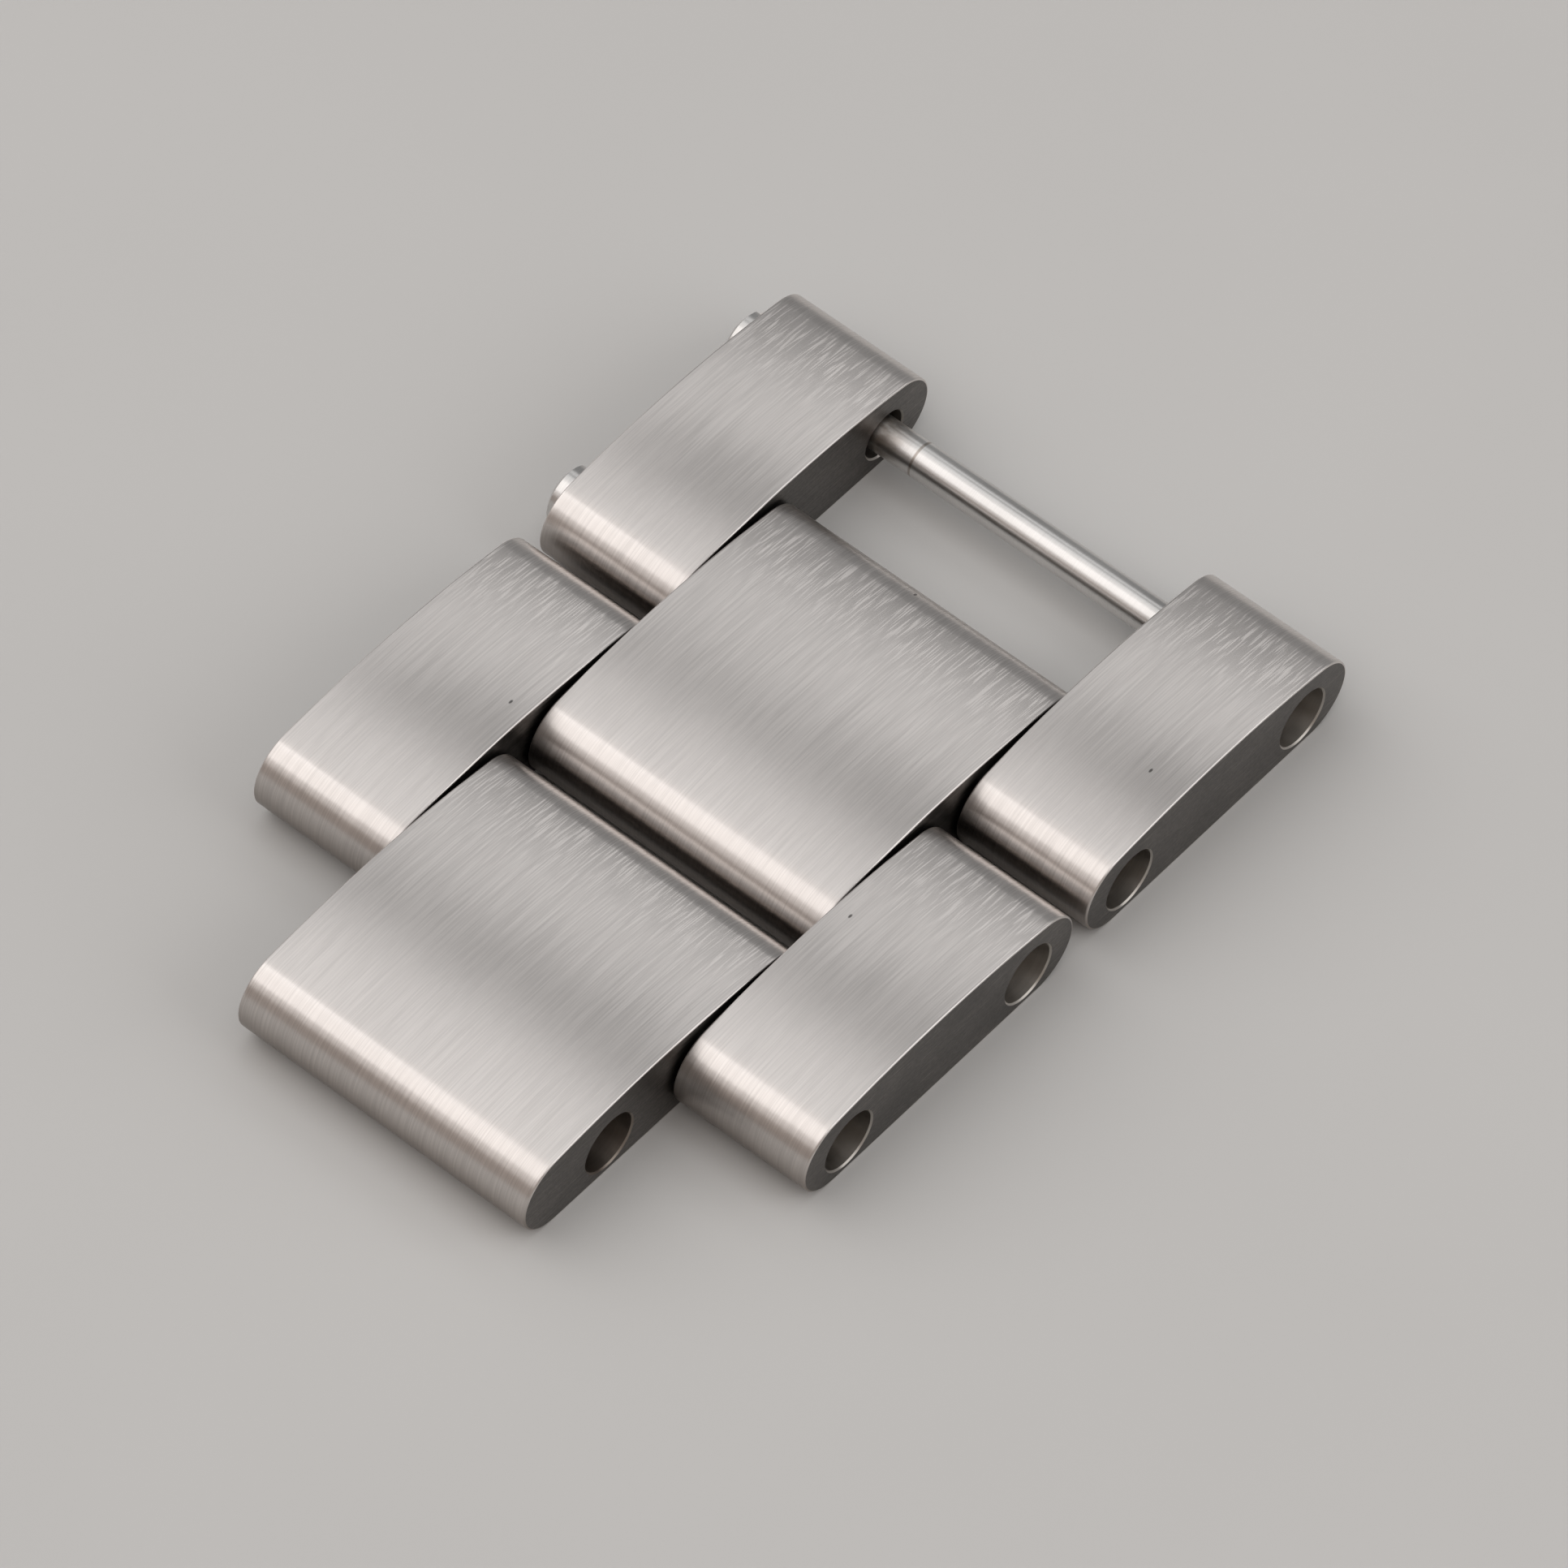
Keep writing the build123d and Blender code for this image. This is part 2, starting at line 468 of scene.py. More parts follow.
def link_tree():
    """Sweeps a link's outline across its width with rounded edges, and cuts its bores."""
    inputs = {
        "Left face": "Float",
        "Right face": "Float",
        "Edge radius": "Float",
        "Edge steps": "Int",
        "Bores": "Object",
        "Top": "Material",
        "Side": "Material",
    }
    tree, given, output = geometry_tree("Link body", inputs)
    outline = given["Geometry"]
    count = tree.node("GeometryNodeAttributeDomainSize", {0: outline}).outputs["Point Count"]
    position = tree.node("GeometryNodeInputPosition").outputs[0]
    outward = tree.node(
        "GeometryNodeInputNamedAttribute", {"Name": "outward"}, data_type="FLOAT_VECTOR"
    ).outputs[0]
    stations = tree.math("MULTIPLY", tree.math("ADD", given["Edge steps"], 1), 2)
    mesh, across, around = unit_grid(tree, stations, tree.math("ADD", count, 1))
    station = tree.math("ROUND", tree.math("MULTIPLY", across, tree.math("SUBTRACT", stations, 1)))
    from_right = tree.math("SUBTRACT", tree.math("SUBTRACT", stations, 1), station)
    step = tree.math("MINIMUM", station, from_right)
    lean = tree.math("MULTIPLY", tree.math("DIVIDE", step, given["Edge steps"]), TURN / 4)
    inset = tree.math("MULTIPLY", tree.math("SUBTRACT", 1, tree.math("SINE", lean)), given["Edge radius"])
    back = tree.math("MULTIPLY", tree.math("SUBTRACT", 1, tree.math("COSINE", lean)), given["Edge radius"])
    on_left = tree.math("LESS_THAN", station, from_right)
    left = tree.math("MULTIPLY", on_left, tree.math("ADD", given["Left face"], back))
    right = tree.math(
        "MULTIPLY", tree.math("SUBTRACT", 1, on_left), tree.math("SUBTRACT", given["Right face"], back)
    )
    index = tree.math("MODULO", tree.math("ROUND", tree.math("MULTIPLY", around, count)), count)
    point = tree.split(sample(tree, outline, position, index))
    normal = tree.split(sample(tree, outline, outward, index))
    y = tree.math("SUBTRACT", point[1], tree.math("MULTIPLY", normal[1], inset))
    z = tree.math("SUBTRACT", point[2], tree.math("MULTIPLY", normal[2], inset))
    # One at the side face's end of each rounded edge and nought on the top, kept as edge: it roughens the
    # edge and, in the tops' material, lightens it as a painted highlight.
    wear_and_painted_light = tree.math("SUBTRACT", 1, tree.math("DIVIDE", step, given["Edge steps"]))
    mesh = kept(tree, mesh, "edge", wear_and_painted_light)
    mesh = kept(tree, mesh, "lean", normal[1])
    shell = moved(tree, mesh, tree.join(tree.math("ADD", left, right), y, z))
    pieces = tree.node("GeometryNodeJoinGeometry")
    tree.link(flipped(tree, shell), pieces.inputs[0])
    own = tree.node("GeometryNodeInputIndex").outputs[0]
    point = tree.split(sample(tree, outline, position, own))
    normal = tree.split(sample(tree, outline, outward, own))
    y = tree.math("SUBTRACT", point[1], tree.math("MULTIPLY", normal[1], given["Edge radius"]))
    z = tree.math("SUBTRACT", point[2], tree.math("MULTIPLY", normal[2], given["Edge radius"]))
    for face in ("Left face", "Right face"):
        disc = tree.node("GeometryNodeMeshCircle", {"Vertices": count}, fill_type="NGON").outputs[0]
        cap = moved(tree, disc, tree.join(given[face], y, z))
        if face == "Left face":
            cap = flipped(tree, cap)
        tree.link(cap, pieces.inputs[0])
    body = painted(tree, merged(tree, pieces.outputs[0]), given["Top"])
    body = painted(tree, body, given["Side"], sideways(tree))
    bores = tree.node("GeometryNodeObjectInfo", {"Object": given["Bores"]}).outputs["Geometry"]
    return finish_tree(tree, smoothed(tree, cut(tree, body, bores)), output)


def slotted_tree():
    """Cuts a turned slot into a screw pin's head and gives head and rod their finishes."""
    inputs = {
        "Crest": "Vector",
        "Slot size": "Vector",
        "Slot turn": "Float",
        "Head end": "Float",
        "Head": "Material",
        "Rod": "Material",
    }
    tree, given, output = geometry_tree("Slotted head", inputs)
    bar = tree.node("GeometryNodeMeshCube", {"Size": given["Slot size"]}).outputs[0]
    turn = tree.join(given["Slot turn"], 0.0, 0.0)
    inputs = {"Geometry": bar, "Translation": given["Crest"], "Rotation": turn}
    turned = tree.node("GeometryNodeTransform", inputs).outputs[0]
    along = tree.split(tree.node("GeometryNodeInputPosition").outputs[0])[0]
    on_head = tree.math("LESS_THAN", along, given["Head end"])
    mesh = painted(tree, smoothed(tree, cut(tree, given["Geometry"], turned)), given["Rod"])
    return finish_tree(tree, painted(tree, mesh, given["Head"], on_head), output)


def run_tree(source, tree, values, name):
    """Runs a tree on an object and returns the result as a plain object with the given name."""
    modifier = source.modifiers.new(tree.name, "NODES")
    modifier.node_group = tree
    sockets = {item.name: item.identifier for item in tree.interface.items_tree if item.in_out == "INPUT"}
    for label, value in values.items():
        modifier[sockets[label]] = value
    bpy.context.view_layer.update()
    graph = bpy.context.evaluated_depsgraph_get()
    mesh = bpy.data.meshes.new_from_object(source.evaluated_get(graph), depsgraph=graph)
    source.modifiers.remove(modifier)
    mesh.name = name
    made = bpy.data.objects.new(name, mesh)
    bpy.context.scene.collection.objects.link(made)
    return made


def points_object(name, points, outward=None):
    """A mesh of loose points, with a direction kept on each where given."""
    mesh = bpy.data.meshes.new(name)
    mesh.from_pydata(points, [], [])
    if outward:
        layer = mesh.attributes.new("outward", "FLOAT_VECTOR", "POINT")
        for item, direction in zip(layer.data, outward):
            item.vector = direction
    made = bpy.data.objects.new(name, mesh)
    bpy.context.scene.collection.objects.link(made)
    return made


def discard(*objects):
    """Removes helper objects."""
    for item in objects:
        bpy.data.objects.remove(item, do_unlink=True)


def stand_in(piece, node):
    """Puts a finished piece in a CAD node's stead."""
    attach(piece, body_of(node))
    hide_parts(node)


# Outlines


def arc(centre, radius, start, end, steps):
    """Points on an arc with the direction out of it, as ((a, b), (a, b)) pairs."""
    result = []
    for step in range(steps + 1):
        slope = start + (end - start) * step / steps
        way = (math.cos(slope), math.sin(slope))
        result.append(((centre[0] + radius * way[0], centre[1] + radius * way[1]), way))
    return result


def link_outline(node, nose):
    """Closed side outline of a link: flat underside, far nose, crown and near nose."""
    span = size(node)
    home = middle(node)[1]
    reach = span[1] / 2 - nose
    rise = span[2] - 2 * nose
    crown = (reach**2 + span[2] * rise) / (2 * rise)
    crown_centre = span[2] - crown
    lean = math.atan2(nose - crown_centre, reach)
    steps = UNDERSIDE_STEPS
    outline = [((-reach + 2 * reach * step / steps, 0.0), (0.0, -1.0)) for step in range(steps)]
    outline += arc((reach, nose), nose, -TURN / 4, lean, NOSE_STEPS)[:-1]
    outline += arc((0.0, crown_centre), crown, lean, TURN / 2 - lean, CROWN_STEPS)[:-1]
    outline += arc((-reach, nose), nose, TURN / 2 - lean, TURN * 3 / 4, NOSE_STEPS)[:-1]
    points = [(0.0, home + spot[0], spot[1]) for spot, way in outline]
    outward = [(0.0, way[0], way[1]) for spot, way in outline]
    return points_object("outline", points, outward)


# Materials


def shader_tree(name):
    """A new material's tree and its surface shader."""
    material = bpy.data.materials.new(name)
    material.use_nodes = True
    tree = Tree(material.node_tree)
    return material, tree, material.node_tree.nodes["Principled BSDF"]


def object_place(tree):
    """Place on the piece, in object coordinates."""
    return tree.node("ShaderNodeTexCoord").outputs["Object"]


def stretched_place(tree, scale):
    """Place on the piece, stretched along each axis on its own."""
    return tree.node("ShaderNodeMapping", {"Vector": object_place(tree), "Scale": scale}).outputs[0]


def stretched_noise(tree, scale, detail=2.0, roughness=0.5):
    """Noise on object coordinates, with its own scale along each axis."""
    place = stretched_place(tree, scale)
    inputs = {"Vector": place, "Scale": 1.0, "Detail": detail, "Roughness": roughness}
    return tree.node("ShaderNodeTexNoise", inputs).outputs["Fac"]


def spread(tree, value, low, high, start=0.3, end=0.7):
    """A value between start and end, such as a noise, stretched smoothly to run from low to high."""
    inputs = {"Value": value, "From Min": start, "From Max": end, "To Min": low, "To Max": high}
    return tree.node("ShaderNodeMapRange", inputs, interpolation_type="SMOOTHSTEP").outputs["Result"]


def scaled(tree, vector, amount):
    """A vector or a colour times a number."""
    return tree.node("ShaderNodeVectorMath", {0: vector, "Scale": amount}, operation="SCALE").outputs[0]


def blended(tree, factor, first, second):
    """A colour between two, at a factor from nought to one."""
    inputs = {"Factor": factor, "A": first, "B": second}
    return tree.node("ShaderNodeMix", inputs, data_type="RGBA").outputs["Result"]


def held(tree, name):
    """A number kept on the mesh by its Geometry Nodes tree."""
    return tree.node("ShaderNodeAttribute", attribute_name=name).outputs["Fac"]


def pits(tree):
    """One where a small dark pit marks the steel, and nought elsewhere."""
    inputs = {"Vector": stretched_place(tree, PITS), "Scale": 1.0}
    cells = tree.node("ShaderNodeTexVoronoi", inputs, voronoi_dimensions="2D")
    chosen = tree.math("GREATER_THAN", tree.split(cells.outputs["Color"])[0], NO_PIT)
    return tree.math("MULTIPLY", spread(tree, cells.outputs["Distance"], 1.0, 0.0, *PIT_RADIUS), chosen)


def tilted(tree, amount):
    """The surface's normal, tipped along the links by an amount."""
    normal = tree.node("ShaderNodeNewGeometry").outputs["Normal"]
    inputs = {0: normal, 1: (1.0, 0.0, 0.0)}
    along = tree.node("ShaderNodeVectorMath", inputs, operation="CROSS_PRODUCT").outputs[0]
    inputs = {0: normal, 1: scaled(tree, along, amount)}
    tipped = tree.node("ShaderNodeVectorMath", inputs, operation="ADD").outputs[0]
    return tree.node("ShaderNodeVectorMath", {0: tipped}, operation="NORMALIZE").outputs[0]


def bumped(tree, strength, distance, height, **more):
    """The surface's normal, or another one given as Normal, bumped by a height."""
    inputs = {"Strength": strength, "Distance": distance, "Height": height, **more}
    return tree.node("ShaderNodeBump", inputs).outputs[0]


def steel(tree, surface, base, roughness, normal):
    """Joins colour, roughness and normal to the shader of a metal."""
    surface.inputs["Metallic"].default_value = 1.0
    tree.link(base, surface.inputs["Base Color"])
    tree.link(roughness, surface.inputs["Roughness"])
    tree.link(normal, surface.inputs["Normal"])


def brushed_top(colour_value, nose_painted_shade_value):
    """Satin steel brushed along the links, over tops and noses, with a painted highlight on the rounded
    edges, painted glints on the nicks mostly at the far side, and painted shade that darkens and browns the
    noses low down.
    """
    material, tree, surface = shader_tree("brushed_top")
    hairs = stretched_noise(tree, HAIRLINES, 2.0, 0.6)
    nicks = stretched_noise(tree, NICKS, 0.0)
    clouds = stretched_noise(tree, TOP_CLOUDS, 3.0, 0.55)
    edge = held(tree, "edge")
    lean = held(tree, "lean")
    nose = spread(tree, tree.math("ABSOLUTE", lean), 0.0, 1.0, 0.04, 0.3)
    far = spread(tree, lean, 0.15, 1.0, 0.0, 0.12)
    grain = spread(tree, hairs, -1.0, 1.0, 0.25, 0.75)
    # Painted glint: the nicks' colour is lightened, mostly on the far side; their tipping of the normal is
    # a bump.
    nick = tree.math("MULTIPLY", spread(tree, nicks, 0.0, 1.0, 0.5, 0.72), far)
    light = tree.math("MULTIPLY_ADD", grain, HAIR_SHADE, spread(tree, clouds, 0.97, 1.03))
    light = tree.math("MULTIPLY_ADD", nick, NICK_PAINTED_GLINT, light)
    # Painted highlight along the rounded edges.
    light = tree.math("MULTIPLY_ADD", edge, EDGE_PAINTED_HIGHLIGHT, light)
    light = tree.math("MULTIPLY", light, tree.math("MULTIPLY_ADD", pits(tree), PIT_SHADE, 1.0))
    height = tree.split(object_place(tree))[2]
    # Painted shade: darker, browner colour low on the noses, standing in for a dark reflection from below.
    low = tree.math("MULTIPLY", nose, spread(tree, height, 1.0, 0.0, NOSE_SHADE_FULL, NOSE_SHADE_END))
    base = blended(tree, low, (*colour_value, 1.0), (*nose_painted_shade_value, 1.0))
    rough = tree.math("MULTIPLY_ADD", nose, NOSE_ROUGHER, spread(tree, clouds, *TOP_ROUGHNESS))
    rough = tree.math("MULTIPLY_ADD", edge, EDGE_ROUGHER, rough)
    tip = tree.math("MULTIPLY_ADD", grain, HAIR_TIP, tree.math("MULTIPLY", nick, NICK_TIP))
    normal = bumped(tree, 0.3, 0.001 * MM, grain, Normal=tilted(tree, tip))
    steel(tree, surface, scaled(tree, base, light), rough, normal)
    round_brushing(tree, surface, TOP_GLOSS)
    return material


def ground_side_painted_shade(colour_value):
    """Fine ground steel on the links' flat sides, with short scratches along the links, in a colour
    darkened as painted shade for a dark reflection in the sides.
    """
    material, tree, surface = shader_tree("ground_side_painted_shade")
    grain = stretched_noise(tree, SIDE_GRAIN, 3.0, 0.65)
    specks = stretched_noise(tree, SIDE_SPECKS, 2.0, 0.7)
    clouds = stretched_noise(tree, SIDE_CLOUDS, 3.0)
    scratches = stretched_noise(tree, SIDE_SCRATCHES, 1.0)
    marks = spread(tree, scratches, 0.0, 1.0, 0.64, 0.74)
    light = tree.math("MULTIPLY", spread(tree, grain, 0.68, 1.32), spread(tree, clouds, 0.85, 1.12))
    light = tree.math("MULTIPLY", light, spread(tree, specks, 0.86, 1.14))
    light = tree.math("MULTIPLY_ADD", marks, 0.6, light)
    height = tree.math("ADD", grain, tree.math("MULTIPLY", specks, 0.6))
    normal = bumped(tree, 0.45, 0.0015 * MM, height)
    steel(tree, surface, scaled(tree, colour_value, light), spread(tree, grain, *SIDE_ROUGHNESS), normal)
    return material


def round_brushing(tree, surface, amount):
    """Spreads a surface's gloss along the pin axis and keeps it crisp across."""
    surface.inputs["Anisotropic"].default_value = amount
    surface.inputs["Anisotropic Rotation"].default_value = 0.25
    round_pins = tree.node("ShaderNodeTangent", direction_type="RADIAL", axis="X")
    tree.link(round_pins.outputs[0], surface.inputs["Tangent"])


def turned_steel(name, colour_value, roughness, ring_depth):
    """Steel with fine turning lines round the pin axis."""
    material, tree, surface = shader_tree(name)
    rings = stretched_noise(tree, TURNING_LINES, 2.0, 0.6)
    smears = stretched_noise(tree, SMEARS, 4.0, 0.6)
    scratches = stretched_noise(tree, ROUND_SCRATCHES, 1.0)
    light = tree.math("MULTIPLY", spread(tree, rings, 0.95, 1.04), spread(tree, smears, 0.9, 1.03))
    marks = spread(tree, scratches, 0.0, 1.0, 0.6, 0.8)
    rough = tree.math("MULTIPLY_ADD", marks, SCRATCH_ROUGHER, spread(tree, smears, *roughness))
    normal = bumped(tree, 0.25, ring_depth, rings)
    steel(tree, surface, scaled(tree, colour_value, light), rough, normal)
    round_brushing(tree, surface, TURNED_GLOSS)
    return material


def worn_rod_painted_shade(colour_value, wear_and_shade_value, mark, shade_end):
    """The rod's steel, with a rubbed ring at the mark, and painted shade in brown patches from there to the
    left link, standing in for that link's shadow and dark reflection on the rod.
    """
    material = turned_steel("worn_rod_painted_shade", colour_value, ROD_ROUGHNESS, PIN_RINGS)
    tree = Tree(material.node_tree)
    surface = material.node_tree.nodes["Principled BSDF"]
    plain = surface.inputs["Base Color"].links[0].from_socket
    x = tree.split(object_place(tree))[0]
    patches = stretched_noise(tree, ROD_PATCHES, 4.0, 0.65)
    # Painted shade in patches, fading from the left link's face to just past the rubbed ring.
    painted_shade = spread(tree, x, 1.0, 0.0, shade_end, mark + 0.1 * MM)
    painted_shade = tree.math("MULTIPLY", painted_shade, spread(tree, patches, 0.15, 0.8, 0.35, 0.65))
    off = tree.math("ABSOLUTE", tree.math("SUBTRACT", x, mark))
    ring = spread(tree, off, 0.7, 0.0, 0.015 * MM, 0.05 * MM)
    wear_and_painted_light = tree.math("MAXIMUM", painted_shade, ring)
    tree.link(blended(tree, wear_and_painted_light, plain, (*wear_and_shade_value, 1.0)), surface.inputs["Base Color"])
    return material


def floor_paint(colour_value):
    """Plain pale floor with a very faint mottle."""
    material, tree, surface = shader_tree("plain_floor")
    mottle = spread(tree, stretched_noise(tree, FLOOR_MOTTLE, 3.0), 0.99, 1.01)
    tree.link(scaled(tree, colour_value, mottle), surface.inputs["Base Color"])
    surface.inputs["Roughness"].default_value = 0.85
    surface.inputs["Specular IOR Level"].default_value = 0.2
    return material


# Bores and operators


def turned_body(profile, name, values):
    """An outline of (x, radius) points turned about an axis along X, as a plain object.

    A body with no thread still needs a pitch, because the tree divides by it.
    """
    source = points_object("profile", [(x, radius, 0.0) for x, radius in profile])
    values = {"Thread pitch": MM, **values}
    piece = run_tree(source, bpy.data.node_groups["Turned body"], values, name)
    discard(source)
    return piece


def bore_cutter(node, sizes, places, height, material):
    """Stepped or plain bores of one link, as one object with a closed body for each."""
    low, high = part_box(node)
    overrun = sizes.nose_radius
    rim = sizes.mouth_rim
    mouth = sizes.mouth_diameter / 2
    if node.startswith("centre"):
        profile = [
            (low[0] - overrun, 0.0),
            (low[0] - overrun, mouth + rim + overrun),
            (low[0] + rim, mouth),
            (high[0] - rim, mouth),
            (high[0] + overrun, mouth + rim + overrun),
            (high[0] + overrun, 0.0),
        ]
    else:
        narrow = (sizes.shank_bore if node.startswith("left") else sizes.thread_bore) / 2
        inner = min(abs(low[0]), abs(high[0]))
        outer = max(abs(low[0]), abs(high[0]))
        floor = outer - sizes.mouth_depth
        profile = [
            (inner - overrun, 0.0),
            (inner - overrun, narrow + rim + overrun),
            (inner + rim, narrow),
            (floor, narrow),
            (floor, mouth),
            (outer - rim, mouth),
            (outer + overrun, mouth + rim + overrun),
            (outer + overrun, 0.0),
        ]
        if node.startswith("left"):
            profile = [(-x, radius) for x, radius in reversed(profile)]
    values = {"Segments": BORE_STEPS, "Height": height, "Material": material}
    cutters = [turned_body(profile, "cutter", {**values, "Place": place}) for place in places]
    both = cutters[0]
    with bpy.context.temp_override(active_object=both, selected_editable_objects=cutters):
        bpy.ops.object.join()
    return both


class BRACELET_OT_links(bpy.types.Operator):
    """Make the outer and centre links with their bores"""

    bl_idname = "bracelet.links"
    bl_label = "Links"

    def execute(self, context):
        sizes = context.scene.bracelet_links
        turned_tree()
        tree = link_tree()
        top = brushed_top(sizes.top_colour, sizes.nose_painted_shade_colour)
        side = ground_side_painted_shade(sizes.side_painted_shade_colour)
        # Bore walls in colours darkened as painted shade for the recesses.
        bore = turned_steel("bore_wall", sizes.bore_painted_shade_colour, BORE_ROUGHNESS, BORE_RINGS)
        inner = turned_steel("inner_bore_wall", sizes.inner_bore_painted_shade_colour, INNER_ROUGHNESS, BORE_RINGS)
        for row in ROWS:
            pins = [middle(f"{end}_screw_pin_{row}") for end in ENDS]
            sleeves = [middle(f"{end}_sleeve_{row}") for end in ENDS]
            for node in [f"{side_name}_{row}" for side_name in OUTER_LINKS]:
                self.make(node, sizes, [pin[1] for pin in pins], pins[0][2], tree, top, side, bore)
            node = f"centre_link_{row}"
            self.make(node, sizes, [tube[1] for tube in sleeves], sleeves[0][2], tree, top, side, inner)
        return {"FINISHED"}

    def make(self, node, sizes, places, height, tree, top, side, bore):
        """One link in its CAD node's stead."""
        low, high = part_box(node)
        cutter = bore_cutter(node, sizes, places, height, bore)
        outline = link_outline(node, sizes.nose_radius)
        values = {
            "Left face": low[0],
            "Right face": high[0],
            "Edge radius": sizes.edge_radius,
            "Edge steps": EDGE_STEPS,
            "Bores": cutter,
            "Top": top,
            "Side": side,
        }
        piece = run_tree(outline, tree, values, f"{node}_steel")
        discard(outline, cutter)
        stand_in(piece, node)


class BRACELET_OT_pins(bpy.types.Operator):
    """Make the slotted screw pins"""

    bl_idname = "bracelet.pins"
    bl_label = "Screw pins"

    def execute(self, context):
        sizes = context.scene.bracelet_pins
        tree = slotted_tree()
        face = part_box("left_outer_link_1")[1][0]
        rod = worn_rod_painted_shade(sizes.rod_colour, sizes.rod_wear_and_shade_colour, face + sizes.ring_place, face)
        head = turned_steel("satin_head", sizes.rod_colour, HEAD_ROUGHNESS, PIN_RINGS)
        for row in ROWS:
            for order, end in enumerate(ENDS):
                turn = sizes.slot_turns[2 * row - 2 + order]
                self.make(f"{end}_screw_pin_{row}", sizes, turn, tree, rod, head)
        return {"FINISHED"}

    def make(self, node, sizes, slot_turn, tree, rod, head):
        """One screw pin in its CAD node's stead."""
        low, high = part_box(node)
        home = middle(node)
        wide = size(node)[2] / 2
        thin = sizes.rod_diameter / 2
        crest = low[0]
        seat = crest + sizes.head_height
        tip = high[0]
        dome = (wide**2 + sizes.dome_rise**2) / (2 * sizes.dome_rise)
        lean = math.asin(wide / dome)
        rim = sizes.head_rim
        crown = arc((crest + dome, 0.0), dome, TURN / 2, TURN / 2 - lean, DOME_STEPS)
        profile = [spot for spot, way in crown]
        profile += [(crest + sizes.dome_rise + rim, wide), (seat - rim, wide)]
        profile += [(seat, wide - rim), (seat, thin)]
        thread_start = tip - sizes.thread_length
        neck_start = thread_start - sizes.neck_length
        neck = thin - sizes.neck_depth
        profile += [(neck_start, thin), (neck_start, neck), (thread_start, neck), (thread_start, thin)]
        steps = THREAD_STEPS
        run = sizes.thread_length - sizes.tip_chamfer
        profile += [(thread_start + run * step / steps, thin) for step in range(1, steps + 1)]
        profile += [(tip, thin - sizes.tip_chamfer), (tip, 0.0)]
        values = {
            "Segments": TURNED_STEPS,
            "Height": home[2],
            "Place": home[1],
            "Thread start": thread_start + sizes.thread_pitch / 4,
            "Thread end": tip - sizes.tip_chamfer,
            "Thread pitch": sizes.thread_pitch,
            "Thread depth": sizes.thread_depth,
            "Material": rod,
        }
        turned = turned_body(profile, "turned", values)
        values = {
            "Crest": (crest, home[1], home[2]),
            "Slot size": (2 * sizes.slot_depth, 4 * wide, sizes.slot_width),
            "Slot turn": slot_turn,
            "Head end": seat,
            "Head": head,
            "Rod": rod,
        }
        piece = run_tree(turned, tree, values, f"{node}_steel")
        discard(turned)
        stand_in(piece, node)


class BRACELET_OT_sleeves(bpy.types.Operator):
    """Make the sleeves inside the centre links"""

    bl_idname = "bracelet.sleeves"
    bl_label = "Sleeves"

    def execute(self, context):
        sizes = context.scene.bracelet_sleeves
        # The sleeves' colour is painted shade for the recess they sit in.
        material = turned_steel("turned_sleeve", sizes.sleeve_painted_shade_colour, SLEEVE_ROUGHNESS, SLEEVE_RINGS)
        inside = sizes.bore_diameter / 2
        for row in ROWS:
            for end in ENDS:
                node = f"{end}_sleeve_{row}"
                low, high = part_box(node)
                home = middle(node)
                outside = size(node)[2] / 2
                rim = sizes.rim
                profile = [
                    (low[0], inside),
                    (low[0], outside - rim),
                    (low[0] + rim, outside),
                    (high[0] - rim, outside),
                    (high[0], outside - rim),
                    (high[0], inside),
                    (low[0], inside),
                ]
                values = {
                    "Segments": TURNED_STEPS,
                    "Height": home[2],
                    "Place": home[1],
                    "Material": material,
                }
                stand_in(turned_body(profile, f"{node}_steel", values), node)
        return {"FINISHED"}


def softbox(name, way, aim, width, depth, strength):
    """A rectangular lamp that faces a point, with half its width and depth as shares of its distance."""
    data = bpy.data.lights.new(name, "AREA")
    data.shape = "RECTANGLE"
    data.size = 2 * LAMP_DISTANCE * width
    data.size_y = 2 * LAMP_DISTANCE * depth
    data.energy = strength * math.pi * data.size * data.size_y
    lamp = bpy.data.objects.new(name, data)
    right = (Vector((1.0, 0.0, 0.0)) - way * way.x).normalized()
    turn = Matrix((right, way.cross(right), way)).transposed()
    lamp.matrix_world = Matrix.Translation(aim + way * LAMP_DISTANCE) @ turn.to_4x4()
    bpy.context.scene.collection.objects.link(lamp)


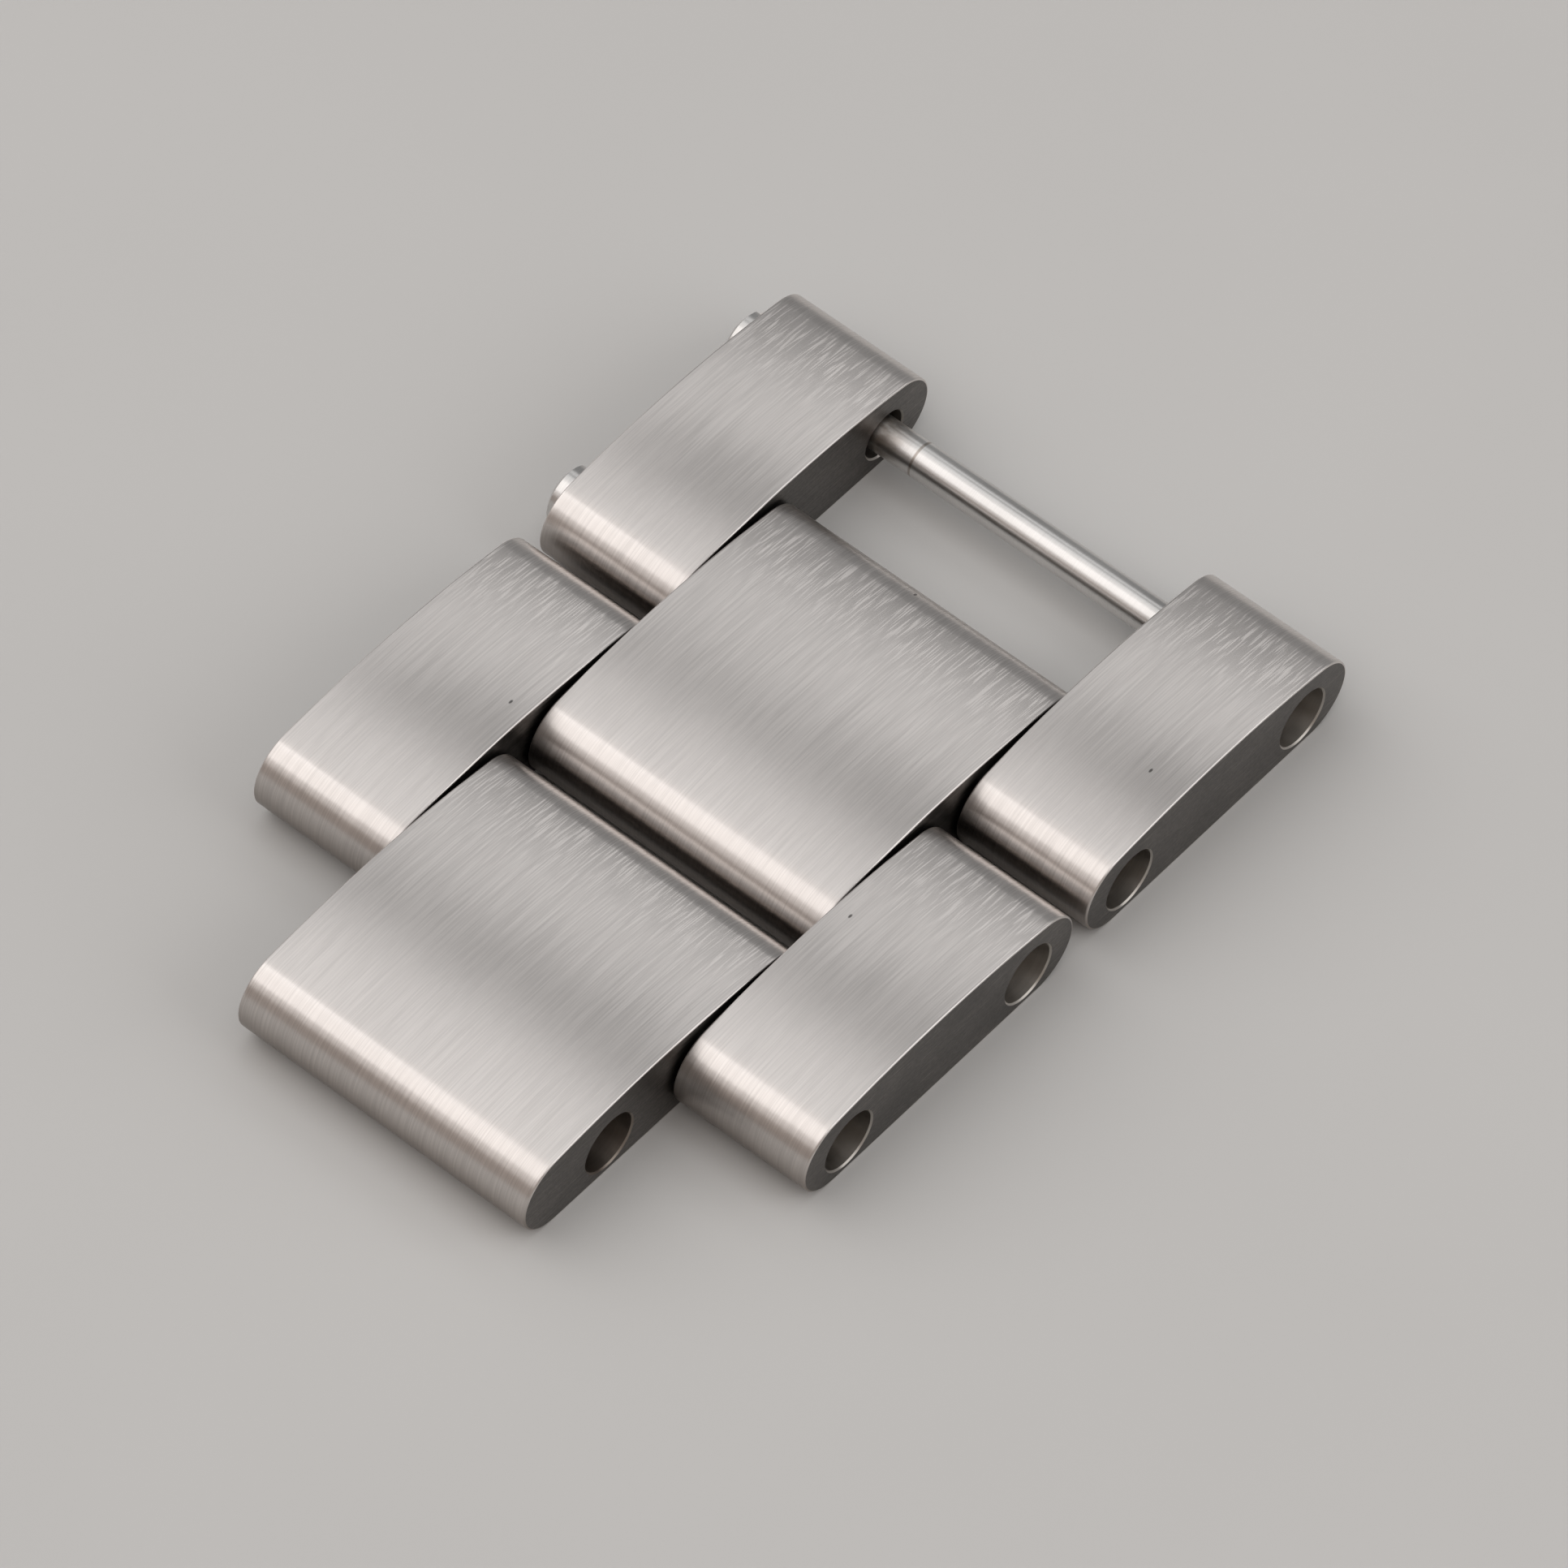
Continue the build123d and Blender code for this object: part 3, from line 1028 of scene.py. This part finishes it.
class BRACELET_OT_stage(bpy.types.Operator):
    """Make the floor, the lamps and the camera"""

    bl_idname = "bracelet.stage"
    bl_label = "Stage"

    def execute(self, context):
        sizes = context.scene.bracelet_stage
        self.floor(sizes)
        self.surroundings(sizes)
        aim = Vector(sizes.aim)
        for name, lean, half_spread, strength in LAMPS:
            slope = math.radians(lean)
            way = Vector((LAMPS_LEFT, -LAMPS_UP * math.sin(slope), LAMPS_UP * math.cos(slope)))
            softbox(name, way.normalized(), aim, 1.0, math.tan(math.radians(half_spread)), strength)
        way, width, depth, strength = RIGHT_LAMP
        softbox("right_lamp", Vector(way).normalized(), aim, width, depth, strength)
        self.camera(sizes, aim)
        context.scene.view_settings.view_transform = "Standard"
        return {"FINISHED"}

    def floor(self, sizes):
        """Plain floor just under the links."""
        half = sizes.floor_size / 2
        mesh = bpy.data.meshes.new("floor")
        corners = [(x * half, y * half, -FLOOR_DROP) for x, y in ((-1, -1), (1, -1), (1, 1), (-1, 1))]
        mesh.from_pydata(corners, [], [(0, 1, 2, 3)])
        mesh.materials.append(floor_paint(sizes.floor_colour))
        plane = bpy.data.objects.new("floor", mesh)
        bpy.context.scene.collection.objects.link(plane)

    def surroundings(self, sizes):
        """A plain grey room, a little warmer in front."""
        world = bpy.data.worlds.new("room")
        bpy.context.scene.world = world
        world.use_nodes = True
        tree = Tree(world.node_tree)
        background = world.node_tree.nodes["Background"]
        way = tree.split(tree.node("ShaderNodeTexCoord").outputs["Generated"])
        behind = spread(tree, way[1], 0.0, 1.0, -0.4, 0.4)
        room = blended(tree, behind, (*sizes.front_colour, 1.0), (*sizes.back_colour, 1.0))
        tree.link(room, background.inputs["Color"])

    def camera(self, sizes, aim):
        """Camera at the photograph's viewing angle."""
        flat = math.cos(sizes.elevation)
        aside, ahead = math.sin(sizes.azimuth), math.cos(sizes.azimuth)
        back = Vector((aside * flat, -ahead * flat, math.sin(sizes.elevation)))
        right = Vector((ahead, aside, 0.0))
        up = back.cross(right)
        turn = Matrix((right, up, back)).transposed()
        turn = turn @ Matrix.Rotation(sizes.roll, 3, "Z")
        data = bpy.data.cameras.new("camera")
        data.sensor_width = 36
        data.lens = sizes.lens
        data.clip_start = 0.01
        camera = bpy.data.objects.new("camera", data)
        camera.matrix_world = Matrix.Translation(aim + back * sizes.distance) @ turn.to_4x4()
        bpy.context.scene.collection.objects.link(camera)
        bpy.context.scene.camera = camera


class BRACELET_PT_pieces(bpy.types.Panel):
    """Buttons and sizes for each group of pieces"""

    bl_idname = "BRACELET_PT_pieces"
    bl_label = "Watch bracelet link"
    bl_space_type = "VIEW_3D"
    bl_region_type = "UI"
    bl_category = "Bracelet"

    def draw(self, context):
        for operator, group in STEPS.items():
            self.layout.operator(operator.bl_idname)
            settings = getattr(context.scene, group)
            for key in type(settings).__annotations__:
                self.layout.prop(settings, key)


GROUPS = {
    "bracelet_links": LinkSizes,
    "bracelet_pins": PinSizes,
    "bracelet_sleeves": SleeveSizes,
    "bracelet_stage": StageSizes,
}
STEPS = {
    BRACELET_OT_links: "bracelet_links",
    BRACELET_OT_pins: "bracelet_pins",
    BRACELET_OT_sleeves: "bracelet_sleeves",
    BRACELET_OT_stage: "bracelet_stage",
}


def register():
    """Registers the classes and their settings."""
    for name, group in GROUPS.items():
        bpy.utils.register_class(group)
        setattr(bpy.types.Scene, name, bpy.props.PointerProperty(type=group))
    for operator in STEPS:
        bpy.utils.register_class(operator)
    bpy.utils.register_class(BRACELET_PT_pieces)


def unregister():
    """Removes what register added."""
    bpy.utils.unregister_class(BRACELET_PT_pieces)
    for operator in STEPS:
        bpy.utils.unregister_class(operator)
    for name, group in GROUPS.items():
        delattr(bpy.types.Scene, name)
        bpy.utils.unregister_class(group)


def main():
    """Makes every piece and the stage."""
    register()
    bpy.ops.bracelet.links()
    bpy.ops.bracelet.pins()
    bpy.ops.bracelet.sleeves()
    bpy.ops.bracelet.stage()


if __name__ == "__main__":
    main()
